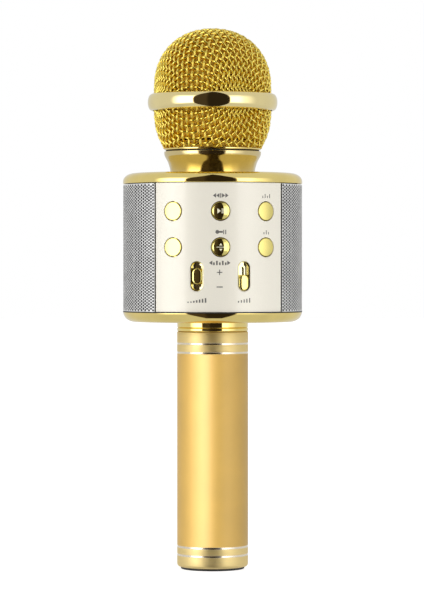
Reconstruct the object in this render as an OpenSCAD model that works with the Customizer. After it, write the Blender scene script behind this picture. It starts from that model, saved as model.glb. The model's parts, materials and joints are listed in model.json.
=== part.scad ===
// Hand-held karaoke microphone with a built-in speaker, a rechargeable cell in
// its handle and a screw-on woven mesh head.
// Millimetres, +Z up, origin at the centre of the underside of the base pad.
// The control panel faces -Y.

/* [Handle] */
// Outer radius of the handle tube
tube_r = 16.05; // [15.9:0.05:16.3]
// Wall of the handle tube
tube_wall = 1.2; // [1:0.1:1.3]
// Thickness of the rubber pad under the handle
pad_h = 1; // [0.8:0.1:1.5]
// Height of the top end of the handle tube
tube_top = 107.2; // [106:0.1:108]
// Height of the lowest bright cut ring round the handle tube
cut_ring_low = 6.6; // [5:0.1:8]
// Distance from each lower cut ring to its neighbour
cut_ring_pitch = 3.7; // [2:0.1:4.2]
// Depth of the uppermost cut ring below the top end of the tube
cut_ring_drop = 5.3; // [3:0.1:6]
// Width of each cut ring
cut_ring_w = 0.8; // [0.5:0.1:1.2]
// Depth of each cut ring
cut_ring_depth = 0.12; // [0.05:0.01:0.2]

/* [Speaker body] */
// Outer radius of the two body caps
body_r = 40.5; // [40.5:0.1:41]
// Height of the underside of the body
body_bottom = 111.7; // [111.5:0.1:111.8]
// Height of the lower edge of the panels and grilles
window_bottom = 116.15; // [116:0.05:116.2]
// Height of the upper edge of the panels and grilles
window_top = 173.9; // [173.8:0.05:174]
// Height of the top of the body
body_top = 178.7; // [178.6:0.1:178.9]
// Outer radius of the front and back panels
panel_r = 40.2; // [40.1:0.05:40.3]
// Thickness of the front and back panels
panel_t = 1.8; // [1.7:0.05:1.85]
// Half of the angle that each panel covers
panel_half_angle = 44; // [43.5:0.1:44.5]
// Outer radius of the perforated grilles
grille_r = 40.4; // [40.2:0.05:40.4]
// Thickness of the grille sheet
grille_t = 0.8; // [0.7:0.05:0.85]

/* [Controls] */
// Angle between neighbouring columns of buttons
button_angle = 31; // [30.5:0.1:31.5]
// Height of the upper row of buttons
button_upper_z = 161.1; // [160.5:0.1:161.5]
// Height of the lower row of buttons
button_lower_z = 145.2; // [145:0.1:146]
// Radius of a button
button_r = 4; // [3.8:0.05:4.1]
// Radius of the hole that a button stands in
button_hole_r = 4.4; // [4.35:0.05:4.6]
// Travel of a button
button_travel = 0.5; // [0.3:0.05:0.6]
// Angle of the two slide controls from the middle of the panel
slider_angle = 15.1; // [14.8:0.1:15.3]
// Height of the middle of the slide controls
slider_z = 132.4; // [132:0.1:132.8]
// Width of a slide control's opening
slot_w = 5.9; // [5.7:0.1:6]
// Height of a slide control's opening
slot_h = 13.4; // [13.2:0.1:13.8]
// Width of a slide knob
knob_w = 4.4; // [4:0.1:4.6]
// Height of a slide knob
knob_h = 7; // [6.5:0.1:7]
// How far below the middle the right-hand knob rests
echo_knob_drop = 2.8; // [0:0.1:2.8]

/* [Head] */
// Height of the top of the neck
neck_top = 188.6; // [188.5:0.1:188.7]
// Radius of the bore that the head screws into
thread_bore_r = 18.3; // [18.28:0.01:18.31]
// Radial clearance of the head's screw thread
thread_clearance = 0.08; // [0.04:0.01:0.1]
// Height of the middle of the metal ring round the head
ring_mid_z = 210.8; // [210.5:0.1:211]
// Height of the metal ring round the head
ring_h = 7.6; // [7.4:0.1:8]
// Greatest radius of the metal ring round the head
ring_r = 29.3; // [29:0.1:29.5]
// Radius of the mesh dome
dome_r = 26.6; // [26.4:0.1:26.7]
// Height where the dome starts to close
dome_z = 217.8; // [217.5:0.1:218]
// Height of the crown of the dome above that
dome_h = 26.5; // [26:0.1:27]
// Roundness of the dome's outline, where 2 is an ellipse
dome_power = 2.15; // [2:0.05:2.3]
// Thickness of the woven mesh
mesh_t = 1.1; // [1:0.1:1.2]

/* [Speaker drivers] */
// Distance of a driver's mounting plate from the centre
driver_x = 26; // [26:0.1:26.2]
// Half of the side of a driver's square flange
driver_half = 21; // [20.8:0.1:21]
// Height of the drivers' axis
driver_z = 145; // [144.5:0.1:145.5]

/* [Hidden] */

$fn = 96;
gold = "goldenrod";
pale_gold = "khaki";
tiny = 0.05;
big = 200;

// Screws: shank radius, head radius and head height of the small self-tapping screws
screw_r = 1;
screw_head_r = 1.9;
screw_head_h = 1.1;
screw_hole_r = 1.1;

// Handle
cut_ring_z = [
    cut_ring_low, cut_ring_low + cut_ring_pitch,
    tube_top - cut_ring_drop - 1.1 * cut_ring_pitch, tube_top - cut_ring_drop
];
tube_inner_r = tube_r - tube_wall;
tube_lip_r = 11;
tube_lip_h = 1.5;
core_r = 14.6;
core_inner_r = 12.6;
core_hole_r = 14.7;
core_flange_r = 19;
core_screw_r = 16.9;
cell_r = 9.15;
cell_bottom = 12;
cell_len = 65;
collar_split = 109.3;

// Caps and what stands between them
cap_t = 2.2;
cap_lip_outer = panel_r - panel_t - 0.1;
cap_lip_inner = cap_lip_outer - 1.2;
cap_floor = body_bottom + cap_t;
cap_ceiling = body_top - 2;
cap_hole_r = 15;
boss_x = 18;
boss_y = 16;
seam = 0.15;

// Chassis box that carries the drivers and boards
chassis_x = 24;
chassis_y = 22;
chassis_low = 119;
chassis_high = 171;
plate_t = 2;
lead_hole_r = 10;

// Control board: five flat facets that follow the front panel
facet_half = 7.75;
facet_count = 5;
board_t = 1.2;
board_corner_r = 34.18;
board_face = board_corner_r * cos(facet_half);
board_bottom = 122;
board_top = 168;
panel_boss = [[-15.5, 153.2], [15.5, 153.2], [0, 129.8]];
switch_top = 35.6;
button_flange_r = 4.9;
button_flange_in = 36.8;
button_flange_out = 37.7;
button_rim = 40.1;
button_crown = 40.4;
centre_button_rim = 39.4;
centre_button_crown = 40.5;
stem_r = 0.82;
stem_hole_r = 0.9;
stem_in = 34.9;
bezel_in = 36.4;
bezel_floor = 37.6;
bezel_out = 39.95;
bezel_wall = 0.3;
bezel_gap = 0.05;
knob_slot_w = 1.7;

// Back panel sockets, by height
card_z = 158;
jack_z = 145.5;
charge_z = 133;
led_z = 124.5;
main_board_back = 27;
socket_front = panel_r - panel_t - 0.1;
jack_bore_r = 1.8;
jack_barrel_r = 3;
jack_front = 39.9;
led_lens_r = 0.95;

// Neck and head
neck_screw_r = 16.5;
neck_plug_r = 14.9;
neck_hole_r = 13;
ledge_z = 183.8;
spigot_bottom = neck_top - 4.5;
spigot_r = thread_bore_r - thread_clearance;
spigot_inner_r = 16.8;
seal_top = 189.15;
collar_bottom = 189.2;
basket_bottom = 190;
basket_split = 211;
basket_outline = [
    [22.15, basket_bottom], [23.2, 192], [24.6, 194.9], [25.55, 197.6],
    [26.2, 200.6], [26.6, 204], [26.75, 208], [26.75, basket_split - 0.1]
];
foam_gap = 0.4;
foam_t = 3;
foam_bottom = 193.6;

// Driver
driver_plate_t = 1.2;
magnet_r = 12;
magnet_back = 5;
magnet_front = 14.5;
coil_r = 6.2;
coil_inner_r = 5.6;
coil_gap = 0.3;

// Points along a quarter or other part of an ellipse, from angle a0 to a1
function arc(cx, cz, rx, rz, a0, a1, n) =
    [for (i = [0:n]) let (a = a0 + (a1 - a0) * i / n) [cx + rx * cos(a), cz + rz * sin(a)]];

// Outline of the dome from its springing to its crown, shrunk by "inset"
function dome_line(inset, n) =
    [for (i = [0:n]) let (a = 90 * i / n, e = 2 / dome_power)
        [i == n ? 0 : (dome_r - inset) * pow(cos(a), e), dome_z + (dome_h - inset) * pow(sin(a), e)]];

function reversed(list) = [for (i = [len(list) - 1:-1:0]) list[i]];

module turned(points) {
    rotate_extrude() polygon(points);
}

// Stands children on the curved wall: x runs along the wall, y up, z outward
module on_wall(angle, height) {
    rotate([0, 0, angle]) translate([0, 0, height]) rotate([90, 0, 0]) children();
}

// Flat outline with round ends
module stadium(w, h, t) {
    linear_extrude(t) {
        square([w, h - w], center = true);
        for (side = [-1, 1]) translate([0, side * (h - w) / 2]) circle(d = w, $fn = 48);
    }
}

// Piece of a ring round the Z axis, centred on the given angle from -Y
module wall_sector(centre_angle, half_angle, inner, outer, low, high) {
    rotate([0, 0, centre_angle - 90 - half_angle])
        rotate_extrude(angle = 2 * half_angle)
            translate([inner, low]) square([outer - inner, high - low]);
}

// Screw pointing up the Z axis, with its head below z = 0
module screw(length, shank = screw_r, head = screw_head_r) {
    translate([0, 0, -screw_head_h]) cylinder(r = head, h = screw_head_h, $fn = 32);
    translate([0, 0, -tiny]) cylinder(r = shank, h = length + tiny, $fn = 32);
}

module at_bosses() {
    for (sx = [-1, 1], sy = [-1, 1]) translate([sx * boss_x, sy * boss_y, 0]) children();
}

// ---- Handle ----

module base_pad() {
    color("dimgray")
        turned([[0, 0], [13.9, 0], [14.4, 0.5], [14.4, pad_h], [0, pad_h]]);
}

module handle_end_plug() {
    color("dimgray") {
        translate([0, 0, pad_h]) cylinder(r = tube_lip_r - 0.1, h = tube_lip_h + tiny);
        translate([0, 0, pad_h + tube_lip_h]) cylinder(r = tube_inner_r - 0.1, h = 4);
    }
}

module cut_ring_groove(z) {
    depth = cut_ring_depth;
    translate([0, 0, z - cut_ring_w / 2])
        difference() {
            cylinder(r = tube_r + 1, h = cut_ring_w);
            translate([0, 0, -1]) cylinder(r = tube_r - depth, h = cut_ring_w + 2);
        }
}

module handle_tube() {
    corner = 1.5;
    color(gold)
        difference() {
            turned(concat(
                [[tube_lip_r, pad_h]],
                arc(tube_r - corner, pad_h + corner, corner, corner, -90, 0, 5),
                [[tube_r, tube_top], [tube_inner_r, tube_top]],
                [[tube_inner_r, pad_h + tube_lip_h], [tube_lip_r, pad_h + tube_lip_h]]
            ));
            for (z = cut_ring_z) cut_ring_groove(z);
        }
}

module handle_core() {
    neck_of_core = 84;
    core_floor = 10;
    color("gray")
        difference() {
            union() {
                turned([
                    [core_inner_r, neck_of_core], [core_r, neck_of_core], [core_r, cap_floor],
                    [core_flange_r, cap_floor], [core_flange_r, cap_floor + 2],
                    [core_inner_r, cap_floor + 2]
                ]);
                translate([0, 0, core_floor])
                    cylinder(r = core_r - 0.1, h = cell_bottom - core_floor);
                translate([0, 0, cell_bottom - tiny])
                    rotate_extrude(angle = 180)
                        translate([cell_r + 0.3, 0])
                            square([core_r - cell_r - 0.4, neck_of_core + 2 - cell_bottom]);
            }
            for (a = [90:120:330]) rotate([0, 0, a])
                translate([core_screw_r, 0, cap_floor - 1]) cylinder(r = screw_hole_r, h = 4);
        }
}

module battery_cell() {
    color("royalblue") {
        translate([0, 0, cell_bottom]) cylinder(r = cell_r, h = cell_len - 1);
        translate([0, 0, cell_bottom + cell_len - 1 - tiny]) cylinder(r = 3, h = 1 + tiny);
    }
}

module battery_leads() {
    color("firebrick")
        for (x = [-1.3, 1.3])
            translate([x, 0, cell_bottom + cell_len]) cylinder(r = 0.6, h = 52, $fn = 24);
}

module collar_ring() {
    color(pale_gold)
        turned(concat(
            [[core_hole_r, tube_top + 0.1], [tube_r - 0.35, tube_top + 0.1]],
            arc(tube_r - 0.75, (tube_top + collar_split) / 2 + 0.05, 0.7, 0.85, -60, 60, 6),
            [[tube_r - 0.35, collar_split], [core_hole_r, collar_split]]
        ));
}

module handle_collar() {
    color(gold)
        turned([
            [core_hole_r, collar_split], [tube_r - 0.05, collar_split],
            [tube_r - 0.05, body_bottom], [core_hole_r, body_bottom]
        ]);
}

module core_screws() {
    color("silver")
        for (a = [90:120:330]) rotate([0, 0, a])
            translate([core_screw_r, 0, cap_floor + 2]) mirror([0, 0, 1]) screw(3.6);
}

// ---- Body caps, neck and chassis ----

module bottom_cap() {
    corner = 5;
    corner_z = body_bottom + corner;
    edge_angle = asin((window_bottom - corner_z) / corner);
    edge_r = body_r - corner + corner * cos(edge_angle);
    color(pale_gold)
        difference() {
            union() {
                turned(concat(
                    [[core_hole_r, body_bottom]],
                    arc(body_r - corner, corner_z, corner, corner, -90, edge_angle, 8),
                    [[edge_r - 1.5, window_bottom], [cap_lip_outer, window_bottom]],
                    [[cap_lip_outer, window_bottom + 2], [cap_lip_inner, window_bottom + 2]],
                    [[cap_lip_inner, window_bottom + 0.2], [34.4, cap_floor]],
                    [[core_hole_r, cap_floor]]
                ));
                at_bosses() translate([0, 0, cap_floor - tiny])
                    cylinder(r = 3, h = chassis_low - cap_floor + tiny, $fn = 40);
            }
            at_bosses() translate([0, 0, cap_floor]) cylinder(r = screw_hole_r, h = 10, $fn = 32);
            for (a = [90:120:330]) rotate([0, 0, a])
                translate([core_screw_r, 0, cap_floor - 1.8]) cylinder(r = screw_hole_r, h = 4, $fn = 32);
        }
}

module top_cap() {
    corner_w = 5;
    corner_h = 3.7;
    color(pale_gold)
        difference() {
            union() {
                turned(concat(
                    [[cap_lip_outer, window_top], [body_r, window_top]],
                    arc(body_r - corner_w, body_top - corner_h, corner_w, corner_h, 0, 90, 8),
                    [[cap_hole_r, body_top], [cap_hole_r, cap_ceiling], [34.4, cap_ceiling]],
                    [[cap_lip_inner, cap_ceiling - 2], [cap_lip_inner, window_top - 2]],
                    [[cap_lip_outer, window_top - 2]]
                ));
                at_bosses() translate([0, 0, chassis_high])
                    cylinder(r = 3, h = cap_ceiling - chassis_high + tiny, $fn = 40);
            }
            at_bosses() translate([0, 0, chassis_high - 1])
                cylinder(r = screw_hole_r, h = cap_ceiling - chassis_high + 1, $fn = 32);
            for (a = [90:120:330]) rotate([0, 0, a])
                translate([neck_screw_r, 0, cap_ceiling - 1]) cylinder(r = screw_hole_r, h = 5, $fn = 32);
        }
}

module neck() {
    color(pale_gold)
        difference() {
            turned([
                [neck_hole_r, cap_ceiling], [neck_plug_r, cap_ceiling], [neck_plug_r, body_top],
                [19.4, body_top], [19.25, 180.6], [19.45, 181.6], [19.7, 182.7], [20.1, 183.8],
                [20.7, 184.8], [21.3, 185.7], [21.7, 186.5], [21.9, 187.3], [21.9, neck_top - 0.3],
                [21.6, neck_top], [thread_bore_r, neck_top], [thread_bore_r, ledge_z],
                [neck_hole_r, ledge_z]
            ]);
            for (a = [90:120:330]) rotate([0, 0, a])
                translate([neck_screw_r, 0, body_top - 1]) cylinder(r = screw_hole_r, h = 4.2, $fn = 32);
        }
}

module neck_screws() {
    color("silver")
        for (a = [90:120:330]) rotate([0, 0, a])
            translate([neck_screw_r, 0, cap_ceiling]) screw(5);
}

module cap_screws() {
    color("silver")
        at_bosses() {
            translate([0, 0, chassis_low + plate_t]) mirror([0, 0, 1]) screw(6.5);
            translate([0, 0, chassis_high - plate_t]) screw(6.5);
        }
}

// Drivers lie along X: this turns a shape made round Z to face +X or -X
module facing(side) {
    translate([0, 0, driver_z]) rotate([0, side * 90, 0]) children();
}

module chassis() {
    color("dimgray")
        difference() {
            union() {
                for (z = [chassis_low, chassis_high - plate_t])
                    translate([-chassis_x, -chassis_y, z])
                        cube([2 * chassis_x, 2 * chassis_y, plate_t]);
                for (x = [-driver_x, chassis_x])
                    translate([x, -chassis_y, chassis_low])
                        cube([driver_x - chassis_x, 2 * chassis_y, chassis_high - chassis_low]);
                for (z = [chassis_low + plate_t - tiny, chassis_high - plate_t - 8])
                    translate([0.7, -18, z]) cube([4.5, 6, 8 + tiny]);
            }
            for (side = [-1, 1]) facing(side) {
                translate([0, 0, chassis_x - 1]) cylinder(r = 19, h = 4);
                driver_screw_places() translate([0, 0, chassis_x - 1])
                    cylinder(r = screw_hole_r, h = 4, $fn = 32);
            }
            translate([0, 0, chassis_low - 1]) cylinder(r = lead_hole_r, h = plate_t + 2);
            translate([0, 0, chassis_high - plate_t - 1]) cylinder(r = lead_hole_r, h = plate_t + 2);
            at_bosses() translate([0, 0, chassis_low - 1])
                cylinder(r = screw_hole_r, h = big, $fn = 32);
            board_screw_places() translate([0, 0, -6]) cylinder(r = screw_hole_r, h = 8, $fn = 32);
        }
}

// ---- Panels, grilles and cloths ----

module front_panel() {
    low = window_bottom + seam;
    high = window_top - seam;
    color("ivory")
        difference() {
            union() {
                wall_sector(0, panel_half_angle - 0.15, panel_r - panel_t, panel_r, low, high);
                for (p = panel_boss) on_wall(p[0], p[1]) translate([0, 0, board_face + 0.03])
                    cylinder(r = 2.2, h = panel_r - panel_t - board_face + 0.4, $fn = 40);
            }
            for (a = [-button_angle, 0, button_angle], z = [button_lower_z, button_upper_z])
                on_wall(a, z) translate([0, 0, 30]) cylinder(r = button_hole_r, h = 15, $fn = 64);
            for (a = [-slider_angle, slider_angle])
                on_wall(a, slider_z) translate([0, 0, 30]) stadium(slot_w, slot_h, 15);
            for (p = panel_boss) on_wall(p[0], p[1])
                translate([0, 0, 30]) cylinder(r = 0.95, h = 8.2, $fn = 32);
        }
}

module back_panel() {
    low = window_bottom + seam;
    high = window_top - seam;
    color("ivory")
        difference() {
            wall_sector(180, panel_half_angle - 0.15, panel_r - panel_t, panel_r, low, high);
            on_wall(180, card_z) translate([-0.75, -6.1, 30]) cube([1.5, 12.2, 15]);
            on_wall(180, jack_z) translate([0, 0, 30]) cylinder(r = jack_barrel_r + 0.1, h = 15);
            on_wall(180, charge_z) translate([-1.5, -4.1, 30]) cube([3, 8.2, 15]);
            on_wall(180, led_z) translate([0, 0, 30]) cylinder(r = led_lens_r + 0.1, h = 15, $fn = 32);
        }
}

module grille(side) {
    color("silver")
        wall_sector(side * 90, 90 - panel_half_angle - 0.15, grille_r - grille_t, grille_r,
            window_bottom + seam, window_top - seam);
}

module dust_cloth(side) {
    color("black")
        wall_sector(side * 90, 90 - panel_half_angle - 2, grille_r - grille_t - 0.6,
            grille_r - grille_t - 0.1,
            window_bottom + 2.4, window_top - 2.4);
}

module left_grille() { grille(-1); }
module right_grille() { grille(1); }
module left_dust_cloth() { dust_cloth(-1); }
module right_dust_cloth() { dust_cloth(1); }

// ---- Speaker drivers ----

module driver_screw_places() {
    for (sx = [-1, 1], sy = [-1, 1]) translate([sx * 18.6, sy * 18.6, 0]) children();
}

module driver_frame(side) {
    hole_r = 17.5;
    color("slategray")
        facing(side)
            difference() {
                union() {
                    turned([
                        [7, magnet_front], [12.6, magnet_front], [18.7, 23], [18.7, driver_x + tiny],
                        [hole_r, driver_x + tiny], [hole_r, 23.4], [12, magnet_front + 1.2],
                        [7, magnet_front + 1.2]
                    ]);
                    translate([-driver_half, -driver_half, driver_x])
                        difference() {
                            cube([2 * driver_half, 2 * driver_half, driver_plate_t]);
                            translate([driver_half, driver_half, -1]) cylinder(r = hole_r, h = 4);
                        }
                }
                driver_screw_places() translate([0, 0, driver_x - 1])
                    cylinder(r = screw_hole_r, h = 4, $fn = 32);
                for (a = [0:90:270]) rotate([0, 0, a])
                    translate([10, -4.5, magnet_front + 2]) cube([12, 9, 5]);
            }
}

module driver_magnet(side) {
    color("darkgray")
        facing(side)
            difference() {
                translate([0, 0, magnet_back]) cylinder(r = magnet_r, h = magnet_front - magnet_back);
                difference() {
                    translate([0, 0, 9.5]) cylinder(r = coil_r + coil_gap, h = 10);
                    translate([0, 0, 9]) cylinder(r = coil_inner_r - coil_gap, h = 12);
                }
            }
}

module surround(side) {
    base = driver_x + 0.4;
    color("black")
        facing(side)
            turned(concat(
                arc(15.75, base, 1.7, 1.7, 0, 180, 8),
                arc(15.75, base, 1.2, 1.2, 180, 0, 8)
            ));
}

module cone(side) {
    color("darkslategray")
        facing(side)
            turned([
                [0, 21.6], [2, 21.3], [4, 20.5], [coil_inner_r, 19.4], [13.4, 26.4], [13.8, 26.4],
                [13.8, 25.9], [coil_r, 18.7], [coil_r, 11.5], [coil_inner_r, 11.5],
                [coil_inner_r, 18.7], [4, 19.9], [2, 20.7], [0, 21]
            ]);
}

module left_driver_frame() { driver_frame(-1); }
module right_driver_frame() { driver_frame(1); }
module left_driver_magnet() { driver_magnet(-1); }
module right_driver_magnet() { driver_magnet(1); }
module left_surround() { surround(-1); }
module right_surround() { surround(1); }
module left_cone() { cone(-1); }
module right_cone() { cone(1); }

module driver_screws() {
    color("silver")
        for (side = [-1, 1]) facing(side) driver_screw_places()
            translate([0, 0, driver_x + driver_plate_t]) mirror([0, 0, 1]) screw(3);
}

// ---- Electronics ----

// Two screws through the main board along X, in the frame of each screw
module board_screw_places() {
    for (z = [chassis_low + 6, chassis_high - 6])
        translate([-0.6, -15, z]) rotate([0, -90, 0]) children();
}

module main_board() {
    low = chassis_low + plate_t + 0.1;
    high = chassis_high - plate_t - 0.1;
    color("darkgreen")
        difference() {
            union() {
                translate([-0.6, -19, low]) cube([1.2, 19 + main_board_back, high - low]);
                translate([0.5, 12, 140]) cube([1.4, 7, 7]);
                translate([0.5, 14, 152]) cube([3, 5, 5]);
                translate([-1.9, 12, 126]) cube([1.4, 5, 8]);
            }
            board_screw_places() translate([0, 0, -6]) cylinder(r = screw_hole_r, h = 8, $fn = 32);
        }
}

module board_screws() {
    color("silver")
        board_screw_places() mirror([0, 0, 1]) screw(5);
}

module control_board() {
    edge = facet_half * facet_count;
    corners = [for (i = [0:facet_count]) -edge + 2 * facet_half * i];
    inner_corner_r = board_corner_r - board_t / cos(facet_half);
    outline = concat(
        [for (a = corners) board_corner_r * [sin(a), -cos(a)]],
        [for (a = reversed(corners)) inner_corner_r * [sin(a), -cos(a)]]
    );
    color("darkgreen")
        difference() {
            translate([0, 0, board_bottom]) linear_extrude(board_top - board_bottom) polygon(outline);
            for (p = panel_boss) on_wall(p[0], p[1])
                translate([0, 0, 30]) cylinder(r = 1.05, h = 6, $fn = 32);
        }
}

module panel_screws() {
    color("silver")
        for (p = panel_boss) on_wall(p[0], p[1])
            translate([0, 0, board_face - board_t - 0.05]) screw(3.6, 0.85, 1.7);
}

module tact_switches() {
    size = 5;
    color("lightgray")
        for (a = [-button_angle, 0, button_angle], z = [button_lower_z, button_upper_z])
            on_wall(a, z) difference() {
                translate([-size / 2, -size / 2, board_face + 0.03])
                    cube([size, size, switch_top - board_face - 0.03]);
                translate([0, 0, 30]) cylinder(r = stem_hole_r, h = 10, $fn = 32);
            }
}

module slide_potentiometers() {
    w = 5;
    h = 17;
    top = 36.2;
    color("dimgray")
        for (a = [-slider_angle, slider_angle]) on_wall(a, slider_z) difference() {
            translate([-w / 2, -h / 2, board_face + 0.05]) cube([w, h, top - board_face - 0.05]);
            translate([-knob_slot_w / 2, -6, board_face + 0.6]) cube([knob_slot_w, 12, 5]);
        }
}

module slider_bezels() {
    outer_w = slot_w - 2 * bezel_gap;
    outer_h = slot_h - 2 * bezel_gap;
    color(pale_gold)
        for (a = [-slider_angle, slider_angle]) on_wall(a, slider_z) difference() {
            translate([0, 0, bezel_in]) stadium(outer_w, outer_h, bezel_out - bezel_in);
            translate([0, 0, bezel_floor])
                stadium(outer_w - 2 * bezel_wall, outer_h - 2 * bezel_wall, 4);
            translate([-knob_slot_w / 2, -4.2, 30]) cube([knob_slot_w, 8.4, 10]);
        }
}

module charging_socket() {
    color("silver")
        on_wall(180, charge_z) {
            difference() {
                translate([-1.8, -4.5, main_board_back + 0.1])
                    cube([3.6, 9, socket_front - main_board_back - 0.1]);
                translate([-1.2, -3.9, 30]) cube([2.4, 7.8, 10]);
            }
            translate([-0.3, -3, 30 - tiny]) cube([0.6, 6, 5]);
        }
}

module audio_jack() {
    color("black")
        on_wall(180, jack_z) difference() {
            union() {
                translate([-3.5, -4, main_board_back + 0.1]) cube([7, 8, 9.8]);
                translate([0, 0, 36]) cylinder(r = jack_barrel_r, h = jack_front - 36);
            }
            translate([0, 0, jack_front - 11.5]) cylinder(r = jack_bore_r, h = 20, $fn = 64);
        }
}

module card_socket() {
    color("silver")
        on_wall(180, card_z) difference() {
            translate([-1.1, -7.2, main_board_back + 0.1])
                cube([2.2, 14.4, socket_front - main_board_back - 0.1]);
            translate([-0.5, -5.7, 29]) cube([1, 11.4, 12]);
        }
}

module status_led() {
    color("white")
        on_wall(180, led_z) {
            translate([0, 0, main_board_back + 0.1])
                cylinder(r = 1.5, h = socket_front - main_board_back - 0.1, $fn = 40);
            translate([0, 0, socket_front - tiny]) cylinder(r = led_lens_r, h = 1.8, $fn = 32);
        }
}

// ---- Microphone capsule ----

module capsule_holder() {
    color("dimgray")
        turned([
            [3, 180.5], [neck_hole_r - 0.1, 180.5], [neck_hole_r - 0.1, ledge_z], [16.4, ledge_z],
            [16.4, 185.3], [13.5, 185.3], [13.5, 199], [12, 199], [12, 187], [3, 187]
        ]);
}

module mic_capsule() {
    color("silver")
        difference() {
            turned([
                [0, 187], [11.9, 187], [11.9, 200], [12.8, 200.8], [12.8, 206.5], [11.5, 208], [0, 208]
            ]);
            for (a = [0:60:300]) rotate([0, 0, a]) translate([6.5, 0, 206.8])
                cylinder(r = 1.4, h = 3, $fn = 32);
            translate([0, 0, 206.8]) cylinder(r = 1.4, h = 3, $fn = 32);
        }
}

module capsule_leads() {
    color("white")
        for (x = [-1.3, 1.3]) translate([x, 0, 160]) cylinder(r = 0.6, h = 27, $fn = 24);
}

// ---- Buttons and slide knobs ----

// The centre buttons are domed; the others are nearly flat
module button(angle, height) {
    top = angle == 0 ? centre_button_crown : button_crown;
    rim = angle == 0 ? centre_button_rim : button_rim;
    crown_h = top - rim;
    crown_r = (button_r * button_r + crown_h * crown_h) / (2 * crown_h);
    crown_angle = asin(button_r / crown_r);
    crown = [for (i = [0:5]) let (a = crown_angle * (1 - i / 5))
        [crown_r * sin(a), top - crown_r + crown_r * cos(a)]];
    color(pale_gold)
        on_wall(angle, height)
            turned(concat(
                [[0, stem_in], [stem_r, stem_in], [stem_r, button_flange_in]],
                [[button_flange_r, button_flange_in], [button_flange_r, button_flange_out]],
                [[button_r, button_flange_out]],
                crown
            ));
}

module button_upper_left() { button(-button_angle, button_upper_z); }
module button_upper_centre() { button(0, button_upper_z); }
module button_upper_right() { button(button_angle, button_upper_z); }
module button_lower_left() { button(-button_angle, button_lower_z); }
module button_lower_centre() { button(0, button_lower_z); }
module button_lower_right() { button(button_angle, button_lower_z); }

module slide_knob(angle, height) {
    low = bezel_floor + 0.2;
    color(pale_gold)
        on_wall(angle, height) {
            hull() {
                translate([0, 0, low]) stadium(knob_w, knob_h, 1.6);
                translate([0, 0, low + 2.3]) stadium(knob_w - 1.4, knob_h - 1.6, 0.2);
            }
            translate([-0.6, -1.2, board_face + 0.9]) cube([1.2, 2.4, low - board_face]);
        }
}

module volume_knob() { slide_knob(-slider_angle, slider_z); }
module echo_knob() { slide_knob(slider_angle, slider_z - echo_knob_drop); }

// ---- Head ----

module head_seal_ring() {
    color("black")
        turned([
            [18.6, neck_top + 0.05], [21.1, neck_top + 0.05], [21.1, seal_top], [18.6, seal_top]
        ]);
}

module head_collar() {
    color(gold)
        turned([
            [spigot_inner_r, spigot_bottom], [spigot_r, spigot_bottom], [spigot_r, collar_bottom],
            [21.8, collar_bottom], [21.8, basket_bottom], [19.9, basket_bottom], [19.9, 193.2],
            [19.2, 193.2], [19.2, basket_bottom], [spigot_inner_r, basket_bottom]
        ]);
}

module head_basket_mesh() {
    color(gold)
        turned(concat(basket_outline, [for (p = reversed(basket_outline)) [p[0] - mesh_t, p[1]]]));
}

module head_ring() {
    low = ring_mid_z - ring_h / 2;
    high = ring_mid_z + ring_h / 2;
    edge_r = ring_r - 1.7;
    inner_r = 26.95;
    color(pale_gold)
        turned(concat(
            [[inner_r, low], [edge_r - 0.2, low]],
            arc(edge_r, ring_mid_z, ring_r - edge_r, ring_h / 2 - 0.3, -90, 90, 10),
            [[edge_r - 0.2, high], [inner_r, high], [inner_r, high - 1.2], [27.6, high - 1.2]],
            [[27.6, low + 1.2], [inner_r, low + 1.2]]
        ));
}

module head_dome_mesh() {
    foot = basket_split + 0.1;
    color(gold)
        turned(concat(
            [[26.75 - mesh_t, foot], [26.75, foot]],
            dome_line(0, 14),
            reversed(dome_line(mesh_t, 14))
        ));
}

module foam_windscreen() {
    inset = mesh_t + foam_gap;
    skirt = [for (p = basket_outline) if (p[1] > foam_bottom) p];
    color("darkgoldenrod")
        turned(concat(
            [[22, foam_bottom]],
            [for (p = skirt) [p[0] - inset, p[1]]],
            dome_line(inset, 10),
            reversed(dome_line(inset + foam_t, 10)),
            [for (p = reversed(skirt)) [p[0] - inset - foam_t, p[1]]],
            [[22 - foam_t, foam_bottom]]
        ));
}

base_pad();
handle_end_plug();
handle_tube();
handle_core();
battery_cell();
battery_leads();
collar_ring();
handle_collar();
bottom_cap();
top_cap();
neck();
neck_screws();
core_screws();
cap_screws();
chassis();
front_panel();
back_panel();
left_grille();
right_grille();
left_dust_cloth();
right_dust_cloth();
left_driver_frame();
right_driver_frame();
left_driver_magnet();
right_driver_magnet();
left_surround();
right_surround();
left_cone();
right_cone();
driver_screws();
main_board();
board_screws();
control_board();
panel_screws();
tact_switches();
slide_potentiometers();
slider_bezels();
charging_socket();
audio_jack();
card_socket();
status_led();
capsule_holder();
mic_capsule();
capsule_leads();
button_upper_left();
button_upper_centre();
button_upper_right();
button_lower_left();
button_lower_centre();
button_lower_right();
volume_knob();
echo_knob();
head_seal_ring();
head_collar();
head_basket_mesh();
head_ring();
head_dome_mesh();
foam_windscreen();
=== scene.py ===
"""Looks of the karaoke microphone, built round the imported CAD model.

Everything is in metres in the row frame: +Z up, the control panel faces -Y, the pad stands on z = 0.
Turned parts are lathed, the head is woven from real wires and the grilles are real perforated sheet.
"""
import json
import math

import bmesh
import bpy
import numpy as np
from mathutils import Matrix, Vector

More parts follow.
